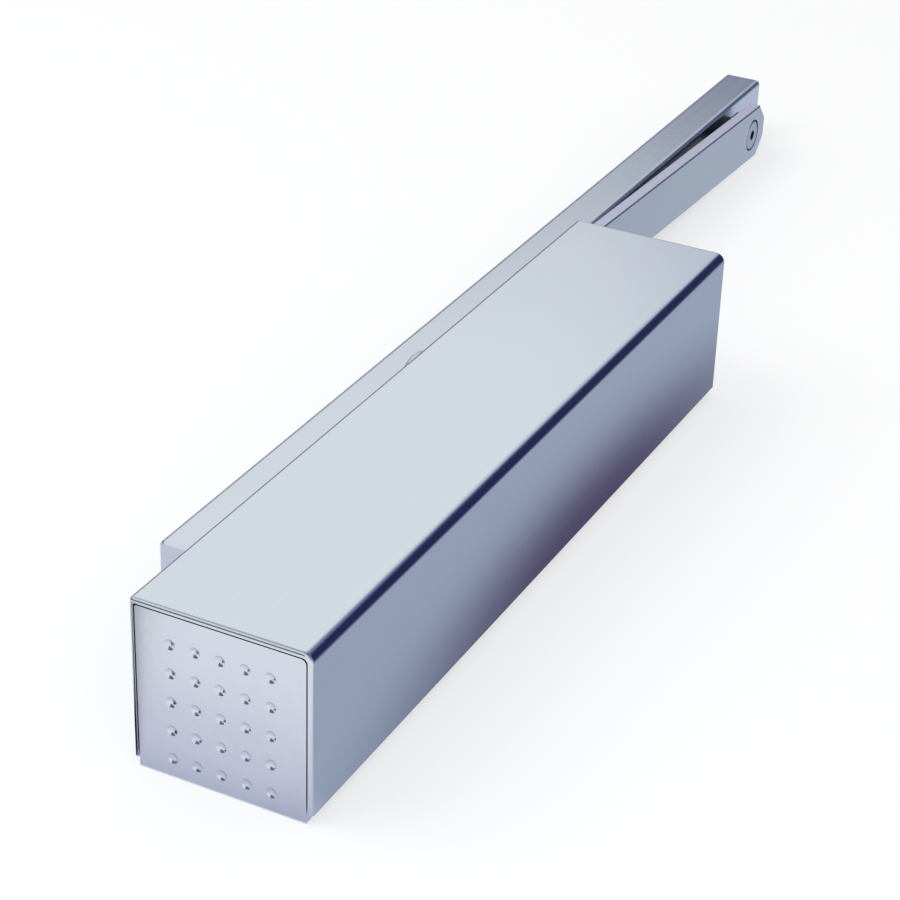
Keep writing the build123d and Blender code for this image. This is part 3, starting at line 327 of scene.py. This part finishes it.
# Tinted paper just over the floor, its patches placed for the photograph's camera. Edges are
# in metres along x and y, in sizes of the oval pool, or along a line that slants by the cap
navy = "#5d6384"  # on the paper and on the wall beyond
paper = {
    "height": 0.4, "reach": 1.5,
    "poolMiddle": (0.034, -0.028), "poolSize": (0.122, 0.0185), "poolSlant": 2.3,
    "capSlant": 0.702,
    # Every patch is painted into what the metal reflects. There is painted shade of the floor
    # by the cap, under the arm and at the rail's end, and a painted shadow pool before the
    # cover's side. A darker floor beside and beyond the cover and a dark strip beside the cap's
    # edge are painted reflections.
    "tints": {
        "shadeByTheCap": {"tone": "#e4e1ee", "edges": [("x", -0.2, -0.145), ("y", -0.13, -0.07)]},
        "byTheCover": {"tone": "#aeb7c9", "edges": [("x", -0.155, -0.125), ("y", 0.07, 0.04)]},
        "furtherOut": {"tone": navy, "edges": [
            ("x", -0.155, -0.125), ("y", 0.07, 0.04), ("y", -0.08, -0.36)]},
        "shadowPool": {"tone": "#5f5573", "edges": [("pool", 1.65, 0.2), ("y", 0.01, -0.02)]},
        "shadeUnderTheArm": {"tone": "#c8d0da", "edges": [
            ("x", 0.14, 0.19), ("y", -0.01, 0.008), ("y", 0.06, 0.05)]},
        "shadeAtTheRailsEnd": {"tone": "#cbd1e6", "edges": [
            ("x", 0.345, 0.36), ("y", 0.024, 0.034), ("y", 0.06, 0.05)]},
        "besideTheCapsEdge": {"tone": "#20233f", "edges": [
            ("slant", -0.0735, -0.0705), ("slant", -0.038, -0.048), ("x", -0.09, -0.11),
            ("y", 0.026, 0.032), ("y", 0.14, 0.11)]},
    }}
paintedShadePaper = bpy.data.materials.new("paintedShadePaper")
tree = emptyTree(paintedShadePaper)
place = addNode(tree, "ShaderNodeTexCoord").outputs["Object"]
place = addNode(tree, "ShaderNodeSeparateXYZ", Vector=place).outputs
poolX, poolY = paper["poolMiddle"]
poolLength, poolWidth = paper["poolSize"]
poolStart = poolX + paper["poolSlant"] * poolY
leaning = addNode(tree, "ShaderNodeMath", {"operation": "MULTIPLY_ADD"}, i0=place["Y"],
                  i1=paper["poolSlant"], i2=place["X"])
along = addNode(tree, "ShaderNodeMapRange", {"clamp": False}, Value=leaning.outputs[0],
                From_Min=poolStart, From_Max=poolStart + poolLength)
across = addNode(tree, "ShaderNodeMapRange", {"clamp": False}, Value=place["Y"],
                 From_Min=poolY, From_Max=poolY - poolWidth)
inPool = addNode(tree, "ShaderNodeCombineXYZ", X=along.outputs[0], Y=across.outputs[0])
fromPool = addNode(tree, "ShaderNodeVectorMath", {"operation": "LENGTH"},
                   i0=inPool.outputs[0])
slanting = addNode(tree, "ShaderNodeMath", {"operation": "MULTIPLY_ADD"}, i0=place["X"],
                   i1=paper["capSlant"], i2=place["Y"])
paintSheet(tree, paper["tints"], {
    "x": place["X"], "y": place["Y"], "pool": fromPool.outputs["Value"],
    "slant": slanting.outputs[0]})
hangSheet(flatSheet("paperOnFloor", paper["reach"], paper["height"] * mm), paintedShadePaper)

# Curved walls beyond the closer's far end and behind it, each in flat strips one step wide.
# Turns, steps and edges are in degrees, seen from the wall's centre on the x axis
walls = {"radius": 1.7, "height": 1.6, "step": 2.5}
wallBeyond = {
    "centre": 0.1, "turns": (-75, 75), "tints": {
        "haze": {"tone": "#7a8097", "edges": [("lift", 27, 16)]},
        "dusk": {"tone": "#3f4458", "edges": [("lift", 13, 4)]},
        "shade": {"tone": "#dcdde9", "edges": [("turn", 24, 16)], "blend": "MULTIPLY"},
        "navySide": {"tone": navy, "edges": [("turn", -2, -14), ("lift", 44, 39)]},
    }}
wallBehind = {
    "centre": -0.14, "turns": (95, 172), "tints": {
        "grey": {"tone": "#6b7084", "edges": [("lift", 42, 24)]},
    }}


# how far round and how high a point of a curved wall stands
def wallMeasures(tree, centre):
    place = addNode(tree, "ShaderNodeTexCoord").outputs["Object"]
    place = addNode(tree, "ShaderNodeSeparateXYZ", Vector=place).outputs
    outward = addNode(tree, "ShaderNodeMath", {"operation": "SUBTRACT"}, i0=place["X"],
                      i1=centre).outputs[0]
    sides = {"turn": (place["Y"], outward), "lift": (place["Z"], walls["radius"])}
    measures = {}
    for measure, (rise, run) in sides.items():
        angle = addNode(tree, "ShaderNodeMath", {"operation": "ARCTAN2"}, i0=rise, i1=run)
        measures[measure] = addNode(tree, "ShaderNodeMath", {"operation": "DEGREES"},
                                    i0=angle.outputs[0]).outputs[0]
    return measures


def curvedWall(name, paintName, wall):
    start, end = wall["turns"]
    steps = round((end - start) / walls["step"])
    corners = []
    for step in range(steps + 1):
        angle = math.radians(start + (end - start) * step / steps)
        x = wall["centre"] + walls["radius"] * math.cos(angle)
        y = walls["radius"] * math.sin(angle)
        corners += [(x, y, 0.0), (x, y, walls["height"])]
    faces = [(2 * step, 2 * step + 2, 2 * step + 3, 2 * step + 1) for step in range(steps)]
    material = bpy.data.materials.new(paintName)
    tree = emptyTree(material)
    paintSheet(tree, wall["tints"], wallMeasures(tree, wall["centre"]))
    hangSheet(stageObject(name, corners, faces), material)


curvedWall("wallBeyond", "darkWall", wallBeyond)
curvedWall("wallBehind", "greyWall", wallBehind)

# A grey sheet overhead, white towards its rim; its edge is metres from the middle
overhead = {
    "reach": 1.5, "height": 1.62, "tints": {
        "grey": {"tone": "#b0b4c0", "edges": [("away", 1.35, 0.8)]},
    }}
greySheet = bpy.data.materials.new("greySheet")
tree = emptyTree(greySheet)
place = addNode(tree, "ShaderNodeTexCoord").outputs["Object"]
inPlan = addNode(tree, "ShaderNodeMapping", Vector=place, Scale=(1, 1, 0))
away = addNode(tree, "ShaderNodeVectorMath", {"operation": "LENGTH"}, i0=inPlan.outputs[0])
paintSheet(tree, overhead["tints"], {"away": away.outputs["Value"]})
hangSheet(flatSheet("sheetOverhead", overhead["reach"], overhead["height"]), greySheet)

# Two large softboxes that gloss doesn't see, turned to the middle of the closer and its rail
lamps = {
    "keySoftbox": {"place": (-0.6, 1.0, 1.5), "size": 1.3, "power": 14},
    "fillSoftbox": {"place": (-1.3, -0.9, 1.1), "size": 1.4, "power": 9}}
lampAim = Vector((0.1, 0, 0))
for name, look in lamps.items():
    lamp = bpy.data.lights.new(name, "AREA")
    lamp.shape = "SQUARE"
    lamp.size = look["size"]
    lamp.energy = look["power"]
    softbox = bpy.data.objects.new(name, lamp)
    bpy.context.scene.collection.objects.link(softbox)
    softbox.location = look["place"]
    softbox.visible_glossy = False
    softbox.rotation_mode = "QUATERNION"
    softbox.rotation_quaternion = (lampAim - softbox.location).to_track_quat("-Z", "Y")
print("studio set")

# Camera fitted to the photograph's corners: a long lens, a little above, off the dimpled end
shot = {
    "place": (-0.59, -0.288, 0.408), "azimuth": -63.59, "elevation": 29.45, "roll": 1.94,
    "lens": 98.8, "sensor": 36, "clip": (0.05, 20)}
azimuth, elevation, roll = (math.radians(shot[key]) for key in ("azimuth", "elevation", "roll"))
back = Vector((math.sin(azimuth) * math.cos(elevation),
               -math.cos(azimuth) * math.cos(elevation), math.sin(elevation)))
level = Vector((math.cos(azimuth), math.sin(azimuth), 0))
rise = back.cross(level)
right = math.cos(roll) * level + math.sin(roll) * rise
up = math.cos(roll) * rise - math.sin(roll) * level
lens = bpy.data.cameras.new("longLens")
lens.lens = shot["lens"]
lens.sensor_width = shot["sensor"]
lens.clip_start, lens.clip_end = shot["clip"]
camera = bpy.data.objects.new("camera", lens)
bpy.context.scene.collection.objects.link(camera)
turned = Matrix((right, up, back)).transposed().to_4x4()
camera.matrix_world = Matrix.Translation(shot["place"]) @ turned
bpy.context.scene.camera = camera
bpy.context.scene.view_settings.view_transform = "Standard"
print("camera placed")
